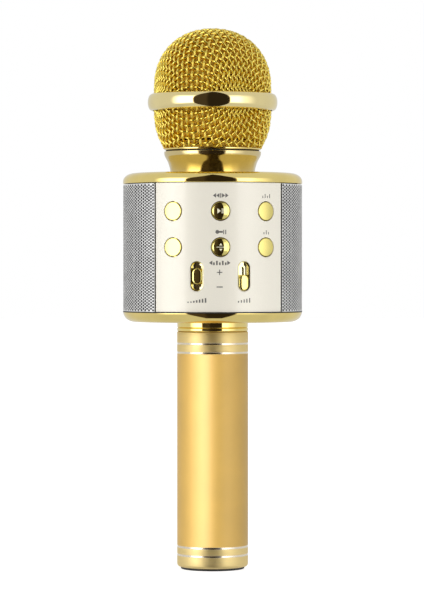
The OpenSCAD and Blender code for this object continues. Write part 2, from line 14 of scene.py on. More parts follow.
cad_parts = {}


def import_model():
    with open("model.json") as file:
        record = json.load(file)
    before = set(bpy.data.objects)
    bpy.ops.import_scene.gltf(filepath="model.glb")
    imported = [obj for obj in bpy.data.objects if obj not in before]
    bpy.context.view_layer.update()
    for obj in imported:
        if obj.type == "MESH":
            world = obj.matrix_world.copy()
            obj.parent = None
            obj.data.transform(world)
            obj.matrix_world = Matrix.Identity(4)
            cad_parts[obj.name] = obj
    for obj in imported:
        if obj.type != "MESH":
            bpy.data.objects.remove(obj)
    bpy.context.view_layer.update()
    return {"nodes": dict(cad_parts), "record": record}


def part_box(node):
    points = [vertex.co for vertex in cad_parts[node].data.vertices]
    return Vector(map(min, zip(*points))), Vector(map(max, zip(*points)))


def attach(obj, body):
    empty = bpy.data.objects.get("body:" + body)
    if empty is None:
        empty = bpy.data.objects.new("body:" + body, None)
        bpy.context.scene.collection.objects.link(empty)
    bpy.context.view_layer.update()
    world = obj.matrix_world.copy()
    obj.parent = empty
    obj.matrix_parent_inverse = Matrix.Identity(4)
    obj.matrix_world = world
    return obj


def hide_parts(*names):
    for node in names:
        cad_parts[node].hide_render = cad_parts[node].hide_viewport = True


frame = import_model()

MM = 0.001
BODY = "microphone_body"
TAU = 2 * math.pi
SHARP = math.radians(38)

# ---- Sizes read from the frame ----


def radius(node):
    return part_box(node)[1].x


def bottom(node):
    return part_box(node)[0].z


def top(node):
    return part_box(node)[1].z


def middle(node):
    low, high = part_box(node)
    return (low + high) / 2


TUBE_R = radius("handle_tube")
TUBE_LOW, TUBE_TOP = bottom("handle_tube"), top("handle_tube")
CUT_RINGS = [TUBE_LOW + 5.6 * MM, TUBE_LOW + 9.3 * MM, TUBE_TOP - 9.37 * MM, TUBE_TOP - 5.3 * MM]
CUT_RING_HALF = 0.4 * MM
COLLAR_SPLIT = bottom("handle_collar")
COLLAR_HOLE = 14.7 * MM
BODY_R = radius("top_cap")
BODY_LOW, BODY_TOP = bottom("bottom_cap"), top("top_cap")
PANEL_LOW, PANEL_TOP = bottom("front_panel"), top("front_panel")
PANEL_R = -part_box("front_panel")[0].y
PANEL_T = 1.8 * MM
PANEL_HALF = math.radians(43.85)
GRILLE_R = radius("right_grille")
GRILLE_T = 0.2 * MM
GRILLE_HALF = math.radians(45.3)
NECK_R, NECK_TOP = radius("neck"), top("neck")
RING_R, RING_LOW, RING_TOP = radius("head_ring"), bottom("head_ring"), top("head_ring")
DOME_TOP = top("head_dome_mesh")
DOME_R = 26.6 * MM
DOME_Z = DOME_TOP - 26.5 * MM
BASKET_LOW, BASKET_TOP = bottom("head_basket_mesh"), top("head_basket_mesh")
COLLAR_LOW = BASKET_LOW - 0.8 * MM

# ---- Mesh helpers ----


def in_scene(name, data):
    obj = bpy.data.objects.new(name, data)
    bpy.context.scene.collection.objects.link(obj)
    return obj


def smooth_object(name, mesh, sharp=SHARP):
    """Object with smooth shading, except across edges sharper than an angle."""
    mesh.polygons.foreach_set("use_smooth", [True] * len(mesh.polygons))
    mesh.update()
    if sharp:
        mesh.set_sharp_from_angle(angle=sharp)
    return in_scene(name, mesh)


def new_object(name, verts, faces, material_ids=None, sharp=SHARP):
    mesh = bpy.data.meshes.new(name)
    mesh.from_pydata([tuple(v) for v in verts], [], [tuple(f) for f in faces])
    if material_ids is not None:
        mesh.polygons.foreach_set("material_index", material_ids)
    return smooth_object(name, mesh, sharp)


def settle(obj, node, *materials, body=BODY, slot=None):
    """Gives a piece its body and its materials, and hides the CAD node that it stands for, if there is one.

    The slot is the node's own and the material the slot's own, unless others are given.
    """
    slot = slot or slot_of[node]
    for material in materials or [slot]:
        obj.data.materials.append(looks[material])
    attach(obj, body)
    if node:
        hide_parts(node)


def rounded(corners, steps=5):
    """Outline through (x, y, fillet) corners, each corner cut by an arc of that radius."""
    points = []
    count = len(corners)
    for i, (x, y, fillet) in enumerate(corners):
        here = Vector((x, y))
        if not fillet:
            points.append((x, y))
            continue
        back = Vector(corners[i - 1][:2]) - here
        ahead = Vector(corners[(i + 1) % count][:2]) - here
        angle = back.angle(ahead)
        reach = min(fillet / math.tan(angle / 2), back.length * 0.49, ahead.length * 0.49)
        r = reach * math.tan(angle / 2)
        centre = here + (back.normalized() + ahead.normalized()).normalized() * (r / math.sin(angle / 2))
        start = here + back.normalized() * reach - centre
        end = here + ahead.normalized() * reach - centre
        turn = math.atan2(start.x * end.y - start.y * end.x, start.dot(end))
        for k in range(steps + 1):
            a = turn * k / steps
            c, s = math.cos(a), math.sin(a)
            points.append((centre.x + start.x * c - start.y * s, centre.y + start.x * s + start.y * c))
    return points


def circle_line(x, y, r, count=64):
    return [(x + r * math.cos(TAU * k / count), y + r * math.sin(TAU * k / count)) for k in range(count)]


def corner_arc(x, z, wide, high, start, end, steps=14):
    """Arc of an ellipse about (x, z), from start to end degrees."""
    points = []
    for k in range(steps + 1):
        a = math.radians(start + (end - start) * k / steps)
        points.append((x + wide * math.cos(a), z + high * math.sin(a)))
    return points


def lathe(name, outline, segments=192, matrix=None, material_of=None):
    """Closed solid turned about Z from a closed (radius, height) outline."""
    outline = [(max(r, 0.0), z) for r, z in outline]
    verts, rings = [], []
    for r, z in outline:
        if r < 1e-9:
            rings.append([len(verts)])
            verts.append(Vector((0, 0, z)))
        else:
            rings.append(list(range(len(verts), len(verts) + segments)))
            verts += [Vector((x, y, z)) for x, y in circle_line(0, 0, r, segments)]
    faces, ids = [], []
    for i, ring in enumerate(rings):
        after = rings[(i + 1) % len(rings)]
        if len(ring) == 1 and len(after) == 1:
            continue
        height = (outline[i][1] + outline[(i + 1) % len(outline)][1]) / 2
        for k in range(segments):
            n = (k + 1) % segments
            if len(ring) == 1:
                faces.append((ring[0], after[n], after[k]))
            elif len(after) == 1:
                faces.append((ring[k], ring[n], after[0]))
            else:
                faces.append((ring[k], ring[n], after[n], after[k]))
            ids.append(material_of(height) if material_of else 0)
    if matrix is not None:
        verts = [matrix @ v for v in verts]
    obj = new_object(name, verts, faces, ids)
    face_outward(obj)
    return obj


def turned(node, outline, *materials, segments=192, material_of=None, body=BODY):
    """Lathed piece that stands for a CAD node."""
    obj = lathe(node + "_turned", outline, segments, material_of=material_of)
    settle(obj, node, *materials, body=body)


def face_outward(obj):
    work = bmesh.new()
    work.from_mesh(obj.data)
    bmesh.ops.recalc_face_normals(work, faces=work.faces)
    work.to_mesh(obj.data)
    work.free()


def on_wall(angle, height):
    """Frame on the wall at an angle from -Y: x runs along the wall, y up, z outward."""
    turn = Matrix.Rotation(angle, 4, "Z")
    return turn @ Matrix.Translation((0, 0, height)) @ Matrix.Rotation(math.radians(90), 4, "X")


def oblong(width, height, z, count=48):
    """Outline with round ends, as points round it."""
    r = min(width, height) / 2
    dx, dy = max(width / 2 - r, 0), max(height / 2 - r, 0)
    points = []
    for k in range(count):
        a = TAU * (k + 0.5) / count
        c, s = math.cos(a), math.sin(a)
        points.append(Vector((math.copysign(dx, c) + r * c, math.copysign(dy, s) + r * s, z)))
    return points


def skin(count, levels, base=0, close_loop=False):
    """Faces of a closed solid through levels of count points each, the first of which is point base."""
    faces = []
    for i in range(levels if close_loop else levels - 1):
        a, b = base + i * count, base + (i + 1) % levels * count
        for k in range(count):
            n = (k + 1) % count
            faces.append((a + k, a + n, b + n, b + k))
    if not close_loop:
        end = base + (levels - 1) * count
        faces.append(tuple(range(base + count - 1, base - 1, -1)))
        faces.append(tuple(range(end, end + count)))
    return faces


def loft(name, outlines, matrix, close_loop=False):
    """Closed solid through outlines that all have the same number of points."""
    verts = [matrix @ p for line in outlines for p in line]
    obj = new_object(name, verts, skin(len(outlines[0]), len(outlines), 0, close_loop))
    face_outward(obj)
    return obj


def join(name, objects):
    """One object from several meshes, in one go."""
    work = bmesh.new()
    for obj in objects:
        work.from_mesh(obj.data)
        bpy.data.objects.remove(obj)
    mesh = bpy.data.meshes.new(name)
    work.to_mesh(mesh)
    work.free()
    return smooth_object(name, mesh)


def slab(name, shapes, place, thickness):
    """Thin solid plates from flat polygons; place(x, y, lift) puts a point on its surface."""
    verts, faces = [], []
    for shape in shapes:
        faces += skin(len(shape), 2, len(verts))
        verts += [place(x, y, lift) for lift in (0, thickness) for x, y in shape]
    obj = new_object(name, verts, faces, sharp=math.radians(30))
    face_outward(obj)
    return obj


# ---- Materials ----


class Tree:
    """A node tree with short ways to add nodes and links."""

    def __init__(self, tree):
        self.tree = tree

    def add(self, kind, **values):
        node = self.tree.nodes.new("ShaderNode" + kind)
        for key, value in values.items():
            setattr(node, key, value)
        return node

    def link(self, source, target):
        self.tree.links.new(source, target)

    def ramp(self, source, start, end, low=0, high=1, kind="LINEAR"):
        """low up to start, high from end on, and a change between them."""
        node = self.add("MapRange", interpolation_type=kind)
        for key, number in (("From Min", start), ("From Max", end), ("To Min", low), ("To Max", high)):
            node.inputs[key].default_value = number
        self.link(source, node.inputs["Value"])
        return node.outputs["Result"]


class Look(Tree):
    """A material's node tree, with patterns for its colour, roughness and bump."""

    def __init__(self, name, colour, roughness, metallic=1.0):
        self.material = bpy.data.materials.new(name)
        self.material.use_nodes = True
        super().__init__(self.material.node_tree)
        self.shader = self.tree.nodes["Principled BSDF"]
        self.put("Base Color", (*colour, 1))
        self.put("Roughness", roughness)
        self.put("Metallic", metallic)
        self.place = self.add("TexCoord").outputs["Object"]

    def put(self, key, value):
        self.shader.inputs[key].default_value = value

    def pattern(self, kind, size, stretch=(1, 1, 1)):
        """Texture node whose features are about size metres across."""
        mapping = self.add("Mapping")
        mapping.inputs["Scale"].default_value = tuple(s / size for s in stretch)
        self.link(self.place, mapping.inputs["Vector"])
        node = self.add("Tex" + kind)
        node.inputs["Scale"].default_value = 1.0
        self.link(mapping.outputs["Vector"], node.inputs["Vector"])
        return node

    def noise(self, size, detail=3.0, stretch=(1, 1, 1)):
        node = self.pattern("Noise", size, stretch)
        node.inputs["Detail"].default_value = detail
        return node.outputs["Fac"]

    def tint(self, source, low, high, start=0.3, end=0.7):
        """Colour that runs from low to high as source runs from start to end."""
        node = self.add("Mix", data_type="RGBA")
        self.link(self.ramp(source, start, end), node.inputs["Factor"])
        node.inputs["A"].default_value = (*low, 1)
        node.inputs["B"].default_value = (*high, 1)
        self.link(node.outputs["Result"], self.shader.inputs["Base Color"])

    def rough(self, source, low, high):
        self.link(self.ramp(source, 0.3, 0.7, low, high), self.shader.inputs["Roughness"])

    def bump(self, source, height, strength=1.0):
        node = self.add("Bump")
        node.inputs["Distance"].default_value = height
        node.inputs["Strength"].default_value = strength
        self.link(source, node.inputs["Height"])
        self.link(node.outputs["Normal"], self.shader.inputs["Normal"])


def grown(colour, by):
    return tuple(min(c * by, 1.0) for c in colour)


def polished(name, colour, roughness=0.06):
    """Mirror plating with faint clouding and hairline scuffs."""
    n = Look(name, colour, roughness)
    n.tint(n.noise(9 * MM), grown(colour, 0.95), grown(colour, 1.04))
    n.rough(n.noise(1.5 * MM, 4), roughness * 0.8, roughness * 1.5)
    return n.material


def satin_anodised(name, colour):
    """Fine bead-blasted, dyed aluminium with a clear seal."""
    n = Look(name, colour, 0.66, metallic=0.85)
    n.tint(n.noise(14 * MM), grown(colour, 0.96), grown(colour, 1.04))
    grain = n.noise(0.16 * MM, 2)
    n.rough(grain, 0.62, 0.7)
    n.bump(grain, 0.006 * MM, 0.5)
    n.put("Coat Weight", 1.0)
    n.put("Coat IOR", 1.8)
    n.put("Coat Roughness", 0.5)
    return n.material


def brushed(name, colour, roughness, lines=(1, 1, 60)):
    """Metal with fine turned or drawn lines."""
    n = Look(name, colour, roughness)
    line = n.noise(6 * MM, 3, lines)
    n.tint(line, grown(colour, 0.94), grown(colour, 1.05))
    n.rough(line, roughness * 0.8, roughness * 1.25)
    n.bump(line, 0.004 * MM, 0.4)
    return n.material


def wire_gold(name, colour):
    """Gold-plated wire: drawn sheen, with small changes of tone from wire to wire."""
    n = Look(name, colour, 0.24)
    n.tint(n.noise(2.4 * MM, 3), grown(colour, 0.93), grown(colour, 1.12))
    return n.material


def satin_paint(name, colour):
    """Metallic paint: fine flake and a soft satin surface."""
    n = Look(name, colour, 0.42, metallic=0.1)
    flake = n.noise(0.12 * MM, 1)
    n.tint(flake, grown(colour, 0.95), grown(colour, 1.04))
    n.rough(n.noise(3 * MM), 0.38, 0.46)
    n.bump(flake, 0.003 * MM, 0.4)
    n.put("Coat Weight", 0.5)
    n.put("Coat Roughness", 0.04)
    return n.material


def moulded(name, colour, roughness=0.5, grain=0.35 * MM):
    """Spark-grained moulded plastic."""
    n = Look(name, colour, roughness, metallic=0)
    speck = n.noise(grain, 3)
    n.tint(n.noise(12 * MM), grown(colour, 0.9), grown(colour, 1.1))
    n.rough(speck, roughness * 0.9, min(roughness * 1.15, 1))
    n.bump(speck, 0.02 * MM, 0.5)
    return n.material


def open_foam(name, colour):
    """Open-cell foam: pale struts, with the pores painted darker as painted shade in the holes."""
    n = Look(name, colour, 0.9, metallic=0)
    cells = n.pattern("Voronoi", 0.6 * MM).outputs["Distance"]
    # Darker pore centres: painted shade in the pores
    n.tint(cells, grown(colour, 0.8), grown(colour, 1.6), 0.1, 0.7)
    n.bump(cells, 0.15 * MM, 0.8)
    return n.material


def cloth(name, colour):
    """Fine plain-woven acoustic cloth."""
    n = Look(name, colour, 0.95, metallic=0)
    weave = n.pattern("Checker", 0.25 * MM).outputs["Fac"]
    n.tint(weave, grown(colour, 0.6), grown(colour, 1.4), 0, 1)
    n.bump(weave, 0.03 * MM, 0.6)
    return n.material


def circuit(name, colour):
    """Solder-resist green with paler tracks."""
    n = Look(name, colour, 0.35, metallic=0)
    track = n.pattern("Brick", 5 * MM).outputs["Fac"]
    n.tint(track, colour, grown(colour, 1.8), 0, 1)
    n.rough(n.noise(2 * MM), 0.3, 0.45)
    return n.material


# Each material's maker, its colour and the maker's other values
recipes = {
    "rubber_black": (moulded, (0.02, 0.02, 0.021), 0.6),
    "plastic_dark": (moulded, (0.05, 0.05, 0.055)),
    "gold_anodised": (satin_anodised, (0.65, 0.41, 0.058)),
    "gold_plated": (polished, (0.93, 0.75, 0.27)),
    "gold_button": (polished, (0.93, 0.8, 0.27), 0.09),
    "ring_polished": (polished, (0.94, 0.8, 0.4), 0.05),
    "mesh_gold": (wire_gold, (1.0, 0.74, 0.145)),
    "panel_champagne": (satin_paint, (0.92, 0.88, 0.765)),
    "grille_silver": (brushed, (0.94, 0.94, 0.93), 0.5, (1, 1, 1)),
    "cloth_black": (cloth, (0.005, 0.005, 0.006)),
    "foam_gold": (open_foam, (0.62, 0.4, 0.045)),
    "steel_screw": (brushed, (0.6, 0.6, 0.62), 0.3),
    "driver_steel": (brushed, (0.3, 0.31, 0.33), 0.35),
    "magnet_grey": (moulded, (0.12, 0.12, 0.125), 0.6),
    "cone_paper": (moulded, (0.03, 0.03, 0.033), 0.85, 0.8 * MM),
    "board_green": (circuit, (0.02, 0.16, 0.07)),
    "switch_grey": (moulded, (0.4, 0.4, 0.4)),
    "socket_metal": (brushed, (0.62, 0.62, 0.63), 0.25),
    "jack_black": (moulded, (0.02, 0.02, 0.02), 0.35),
    "led_clear": (moulded, (0.8, 0.82, 0.85), 0.2),
    "cell_wrap": (moulded, (0.05, 0.12, 0.4), 0.3),
    "capsule_metal": (brushed, (0.6, 0.6, 0.6), 0.3),
    "lead_red": (moulded, (0.45, 0.03, 0.03), 0.4),
    "lead_white": (moulded, (0.8, 0.8, 0.78), 0.4),
    # Darker gold than the caps' plating for the neck: painted shade that dims it
    "neck_gold": (polished, (0.76, 0.62, 0.3), 0.1),
    "dish_gold": (polished, (0.88, 0.8, 0.45), 0.1),
    "upstand_gold": (moulded, (0.85, 0.6, 0.07), 0.6),
    "turned_gold": (brushed, (0.93, 0.74, 0.34), 0.5),
    # Black for the caps' inner lips: painted shade in the seams round the grilles and panels
    "lip_black": (moulded, (0.015, 0.014, 0.012), 0.6),
    "cut_silver": (brushed, (0.93, 0.85, 0.7), 0.22),
    "print_grey": (moulded, (0.13, 0.125, 0.115), 0.6),
    "mark_pale": (moulded, (0.85, 0.8, 0.58), 0.4),
}
looks = {name: make(name, *values) for name, (make, *values) in recipes.items()}

slot_of = {part["node"]: part["material_slot"] for part in frame["record"]["subparts"]}
for node, obj in frame["nodes"].items():
    for material_slot in obj.material_slots:
        material_slot.material = looks[slot_of[node]]

# ---- Handle ----


def base_pad():
    r, high = radius("base_pad"), top("base_pad")
    outline = rounded([
        (0, 0.12 * MM, 0), (r * 0.55, 0.12 * MM, 0), (r * 0.57, 0, 0.1 * MM), (r, 0, 0.45 * MM),
        (r, high, 0), (0, high, 0),
    ])
    turned("base_pad", outline)


def cut_ring(z):
    """Corners of a shallow polished ring cut into the tube."""
    groove = 0.12 * MM
    return [
        (TUBE_R, z - CUT_RING_HALF - 0.06 * MM, 0.05 * MM),
        (TUBE_R - groove, z - CUT_RING_HALF + 0.06 * MM, 0.03 * MM),
        (TUBE_R - groove * 0.7, z, 0.5 * MM),
        (TUBE_R - groove, z + CUT_RING_HALF - 0.06 * MM, 0.03 * MM),
        (TUBE_R, z + CUT_RING_HALF + 0.06 * MM, 0.05 * MM),
    ]


def handle_tube():
    """Satin sleeve between two turned ends, which carry the cut rings."""
    inner, lip, floor = TUBE_R - 1.2 * MM, 11 * MM, TUBE_LOW + 1.5 * MM
    satin_low, satin_top = CUT_RINGS[1] + 0.55 * MM, CUT_RINGS[2] - 0.55 * MM
    sleeve = [(inner, satin_low), (TUBE_R, satin_low), (TUBE_R, satin_top), (inner, satin_top)]
    settle(lathe("handle_tube_sleeve", sleeve, 256), "handle_tube")
    rings = [cut_ring(z) for z in CUT_RINGS]
    low = [(lip, TUBE_LOW, 0.2 * MM), (TUBE_R, TUBE_LOW, 1.4 * MM)] + rings[0] + rings[1]
    low += [(TUBE_R, satin_low, 0), (inner, satin_low, 0), (inner, floor, 0), (lip, floor, 0)]
    high = [(inner, satin_top, 0), (TUBE_R, satin_top, 0)] + rings[2] + rings[3]
    high += [(TUBE_R, TUBE_TOP, 0.25 * MM), (inner, TUBE_TOP, 0.1 * MM)]

    def silver(height):
        return int(any(abs(height - z) < CUT_RING_HALF + 0.02 * MM for z in CUT_RINGS))

    ends = [lathe("end", rounded(corners, 3), 256, material_of=silver) for corners in (low, high)]
    settle(join("handle_tube_ends", ends), "handle_tube", "turned_gold", "cut_silver")


def collars():
    ring_low, waist = bottom("collar_ring"), TUBE_R - 0.5 * MM
    mid = (ring_low + COLLAR_SPLIT) / 2
    ring = rounded([
        (COLLAR_HOLE, ring_low, 0), (waist, ring_low, 0.15 * MM), (TUBE_R, mid - 0.6 * MM, 0.6 * MM),
        (TUBE_R, mid + 0.6 * MM, 0.6 * MM), (waist, COLLAR_SPLIT, 0.15 * MM),
        (COLLAR_HOLE, COLLAR_SPLIT, 0),
    ])
    turned("collar_ring", ring)
    r = radius("handle_collar")
    collar = [(COLLAR_HOLE, COLLAR_SPLIT, 0), (r, COLLAR_SPLIT, 0.15 * MM), (r, BODY_LOW, 0)]
    turned("handle_collar", rounded(collar + [(COLLAR_HOLE, BODY_LOW, 0)]))


# ---- Body ----


def caps():
    seam = 0.15 * MM
    lip_out, lip_in = PANEL_R - PANEL_T - 0.1 * MM, PANEL_R - PANEL_T - 1.3 * MM
    window_low, window_top = PANEL_LOW - seam, PANEL_TOP + seam
    lip, rib_r, edge, wide = 2 * MM, 34.4 * MM, 0.2 * MM, BODY_R - 5 * MM
    floor = BODY_LOW + 2.2 * MM
    low = [(COLLAR_HOLE, BODY_LOW)] + corner_arc(wide, BODY_LOW + 5 * MM, 5 * MM, 5 * MM, -90, -1)
    low += rounded([
        (BODY_R - 0.02 * MM, window_low, 0.25 * MM), (lip_out, window_low, 0),
        (lip_out, window_low + lip, edge), (lip_in, window_low + lip, edge), (lip_in, floor + 2.4 * MM, 0),
        (rib_r, floor, 0), (COLLAR_HOLE, floor, 0), low[-1] + (0,),
    ])[:-1]
    # Bottom cap: its lip inside the window is black, a painted shade in the seams round the grilles and
    # panels
    turned("bottom_cap", low, "gold_plated", "lip_black", segments=256,
           material_of=lambda z: int(z > window_low + 0.01 * MM))
    hole, ceiling = 15 * MM, BODY_TOP - 2 * MM
    high = corner_arc(wide, BODY_TOP - 3.7 * MM, 5 * MM, 3.7 * MM, 0, 90)
    high += rounded([
        high[-1] + (0,), (hole, BODY_TOP, 0.1 * MM), (hole, ceiling, 0), (rib_r, ceiling, 0),
        (lip_in, ceiling - 2 * MM, 0), (lip_in, window_top - lip, edge), (lip_out, window_top - lip, edge),
        (lip_out, window_top, 0), (BODY_R, window_top, 0.3 * MM), high[0] + (0,),
    ])[1:-1]
    # Top cap: the same black lip, a painted shade in the seams
    turned("top_cap", high, "gold_plated", "lip_black", segments=256,
           material_of=lambda z: int(z < window_top - 0.01 * MM))


# Neck from its foot up: radius, and height above the top cap, in mm
NECK_FLARE = [
    (19.0, 0), (19.1, 1), (19.25, 1.9), (19.48, 2.9), (19.8, 4), (20.2, 5.1), (20.7, 6.1), (21.2, 7),
    (21.62, 7.8), (21.83, 8.6),
]


def neck():
    hole, foot, bore, ledge = 13 * MM, 14.9 * MM, 18.3 * MM, 183.8 * MM
    outline = [(hole, BODY_TOP - 2 * MM), (foot, BODY_TOP - 2 * MM), (foot, BODY_TOP)]
    outline += smooth_path(np.array([(r * MM, BODY_TOP + z * MM) for r, z in NECK_FLARE]), 3).tolist()
    outline += rounded([
        (NECK_R, NECK_TOP - 0.6 * MM, 0), (NECK_R, NECK_TOP, 0.35 * MM), (bore, NECK_TOP, 0.2 * MM),
        (bore, ledge, 0), (hole, ledge, 0),
    ])
    # The neck's darker gold is painted shade
    turned("neck", outline, "neck_gold", segments=256)


BUTTONS = {
    f"button_{row}_{column}": math.radians(angle)
    for row in ("upper", "lower")
    for column, angle in (("left", -31), ("centre", 0), ("right", 31))
}
BUTTON_R = 4.0 * MM
BUTTON_HOLE_R = 4.4 * MM
SLIDER_ANGLE = math.radians(15.1)
SLIDER_Z = middle("volume_knob").z
SLOT_W, SLOT_H = 5.9 * MM, 13.4 * MM
SQUARE = [(-1, -1), (1, -1), (1, 1), (-1, 1)]


def panel(node, holes, centre_angle):
    """Panel with softened edges and holes, drawn flat as (arc length, height) and bent round Z."""
    reach, corner, edge = PANEL_HALF * PANEL_R, 0.3 * MM, 0.2 * MM
    outline = rounded([
        (-reach, PANEL_LOW, corner), (reach, PANEL_LOW, corner),
        (reach, PANEL_TOP, corner), (-reach, PANEL_TOP, corner),
    ], 3)
    name = node + "_shell"
    curve = bpy.data.curves.new(name, "CURVE")
    curve.dimensions = "2D"
    curve.fill_mode = "BOTH"
    curve.extrude = PANEL_T / 2 - edge
    curve.bevel_depth = edge
    curve.bevel_resolution = 2
    curve.offset = -edge
    for loop in [outline] + holes:
        spline = curve.splines.new("POLY")
        spline.points.add(len(loop) - 1)
        for point, (x, y) in zip(spline.points, loop):
            point.co = (x, y, 0, 1)
        spline.use_cyclic_u = True
    flat = in_scene(name + "_flat", curve)
    bpy.context.view_layer.update()
    mesh = bpy.data.meshes.new_from_object(flat.evaluated_get(bpy.context.evaluated_depsgraph_get()))
    bpy.data.objects.remove(flat)
    work = bmesh.new()
    work.from_mesh(mesh)
    bmesh.ops.remove_doubles(work, verts=work.verts, dist=1e-7)
    strips = 72
    for k in range(1, strips):
        x = -reach + 2 * reach * k / strips
        parts = work.verts[:] + work.edges[:] + work.faces[:]
        bmesh.ops.bisect_plane(work, geom=parts, plane_co=(x, 0, 0), plane_no=(1, 0, 0), dist=1e-7)
    for v in work.verts:
        angle = centre_angle + v.co.x / PANEL_R
        r = PANEL_R - PANEL_T / 2 + v.co.z
        v.co = Vector((r * math.sin(angle), -r * math.cos(angle), v.co.y))
    bmesh.ops.recalc_face_normals(work, faces=work.faces)
    work.to_mesh(mesh)
    work.free()
    settle(smooth_object(name, mesh), node)


def front_panel():
    holes = []
    for name, angle in BUTTONS.items():
        holes.append(circle_line(angle * PANEL_R, middle(name).z, BUTTON_HOLE_R))
    for side in (-1, 1):
        middle_x = side * SLIDER_ANGLE * PANEL_R
        holes.append([(p.x + middle_x, p.y + SLIDER_Z) for p in oblong(SLOT_W, SLOT_H, 0)])
    panel("front_panel", holes, 0)


def back_panel():
    charge, card = middle("charging_socket"), middle("card_socket")
    jack, led = middle("audio_jack"), middle("status_led")
    holes = [
        circle_line(0, jack.z, 3.1 * MM),
        circle_line(0, led.z, 1.05 * MM, 32),
        rounded([(x * 1.5 * MM, charge.z + y * 4.1 * MM, 0.8 * MM) for x, y in SQUARE], 4),
        rounded([(x * 0.75 * MM, card.z + y * 6.1 * MM, 0.4 * MM) for x, y in SQUARE], 4),
    ]
    panel("back_panel", holes, math.pi)


ROW_PITCH = 1.35 * MM
COLUMN_PITCH = 1.24 * MM
HOLE_R = 0.54 * MM


def grille(side):
    """Perforated sheet: staggered round holes in columns, with a plain rim and a seam at top and bottom."""
    node = "left_grille" if side < 0 else "right_grille"
    seam, rim = 0.2 * MM, 0.15 * MM
    low, high = bottom(node) + seam, top(node) - seam
    reach = GRILLE_HALF * GRILLE_R
    columns = round((2 * reach - 2 * rim) / COLUMN_PITCH)
    pitch = (2 * reach - 2 * rim) / columns
    rows = round((high - low - 2 * rim) / ROW_PITCH)
    row_pitch = (high - low - 2 * rim) / rows
    x0 = -columns * pitch / 2
    y0 = low + rim
    end = y0 + rows * row_pitch
    quarter, half_w = row_pitch / 4, pitch / 2
    index, flat, faces = {}, [], []

    def point(x, y):
        key = (round(x / 1e-8), round(y / 1e-8))
        if key not in index:
            index[key] = len(flat)
            flat.append((x, y))
        return index[key]

    def plain(left, right, y_low, y_high, beside=()):
        """Face with its corners, its middle and any extra points on its left and right sides."""
        loop = [point(left, y_low), point((left + right) / 2, y_low), point(right, y_low)]
        loop += [point(right, y) for y in beside]
        loop += [point(right, y_high), point((left + right) / 2, y_high), point(left, y_high)]
        loop += [point(left, y) for y in reversed(beside)]
        faces.append(loop)

    def corners(left, right, y_low, y_high):
        faces.append([point(left, y_low), point(right, y_low), point(right, y_high), point(left, y_high)])

    around = [(1, 0), (1, 1), (1, 2), (0, 2), (-1, 2), (-1, 1)]
    around += [(-x, -y) for x, y in around]
    around = [(half_w * x, quarter * y) for x, y in around]
    for c in range(columns):
        x = x0 + (c + 0.5) * pitch
        shifted = c % 2
        start = y0 + 2 * quarter * shifted
        for r in range(rows - shifted):
            y = start + (r + 0.5) * row_pitch
            outer = [point(x + dx, y + dy) for dx, dy in around]
            inner = []
            for dx, dy in around:
                a = math.atan2(dy, dx)
                inner.append(point(x + HOLE_R * math.cos(a), y + HOLE_R * math.sin(a)))
            for k in range(12):
                n = (k + 1) % 12
                faces.append([inner[k], outer[k], outer[n], inner[n]])
        left, right = x - half_w, x + half_w
        if shifted:
            plain(left, right, y0, start, (y0 + quarter,))
            plain(left, right, end - 2 * quarter, end, (end - quarter,))
        plain(left, right, low, y0)
        plain(left, right, end, high)
    for left, right in ((-reach, x0), (x0 + columns * pitch, reach)):
        for k in range(4 * rows):
            y = y0 + k * quarter
            corners(left, right, y, y + quarter)
        corners(left, right, low, y0)
        corners(left, right, end, high)

    centre = side * math.pi / 2
    count = len(flat)
    verts = []
    for r in (GRILLE_R, GRILLE_R - GRILLE_T):
        for x, y in flat:
            a = centre + x / GRILLE_R
            verts.append((r * math.sin(a), -r * math.cos(a), y))
    solid = faces + [[i + count for i in reversed(f)] for f in faces]
    edges = dict.fromkeys((a, b) for f in faces for a, b in zip(f, f[1:] + f[:1]))
    solid += [[b, a, a + count, b + count] for a, b in edges if (b, a) not in edges]
    settle(new_object(node + "_perforated", verts, solid), node)


# ---- Head ----


def fishnet(surface, pitch, count):
    """Crossings of a square net laid over a surface from its pole, for one quarter, as flat (u, v).

    Two wires run straight out from the pole; every other crossing is one pitch from its two neighbours.
    """
    grid = np.zeros((count + 1, count + 1, 2))
    grid[:, 0, 0] = grid[0, :, 1] = np.arange(count + 1) * pitch
    nudge = 1e-7
    for i in range(1, count + 1):
        for j in range(1, count + 1):
            beside, below = grid[i - 1, j], grid[i, j - 1]
            ends = surface(beside), surface(below)

            def misfit(p):
                here = surface(p)
                return np.array([np.linalg.norm(here - end) - pitch for end in ends])

            p = beside + below - grid[i - 1, j - 1]
            for _ in range(20):
                error = misfit(p)
                slope = [misfit(p + step) - error for step in ((nudge, 0), (0, nudge))]
                move = np.linalg.lstsq(np.stack(slope, 1) / nudge, -error, rcond=None)[0]
                p = p + move * min(1, pitch / (np.abs(move).max() + 1e-12))
                if np.abs(error).max() < 1e-9:
                    break
            grid[i, j] = p
    return grid


def smooth_path(points, steps):
    """Catmull-Rom curve through points, with steps samples between neighbours."""
    padded = np.concatenate([2 * points[:1] - points[1:2], points, 2 * points[-1:] - points[-2:-1]])
    t = (np.arange(steps) / steps)[None, :, None]
    a, b, c, d = (padded[k:len(padded) - 3 + k, None, :] for k in range(4))
    curve = b + t * (c - a) / 2
    curve = curve + t ** 2 * (2 * a - 5 * b + 4 * c - d) / 2 + t ** 3 * (3 * b - a - 3 * c + d) / 2
    return np.concatenate([curve.reshape(-1, points.shape[1]), points[-1:]])


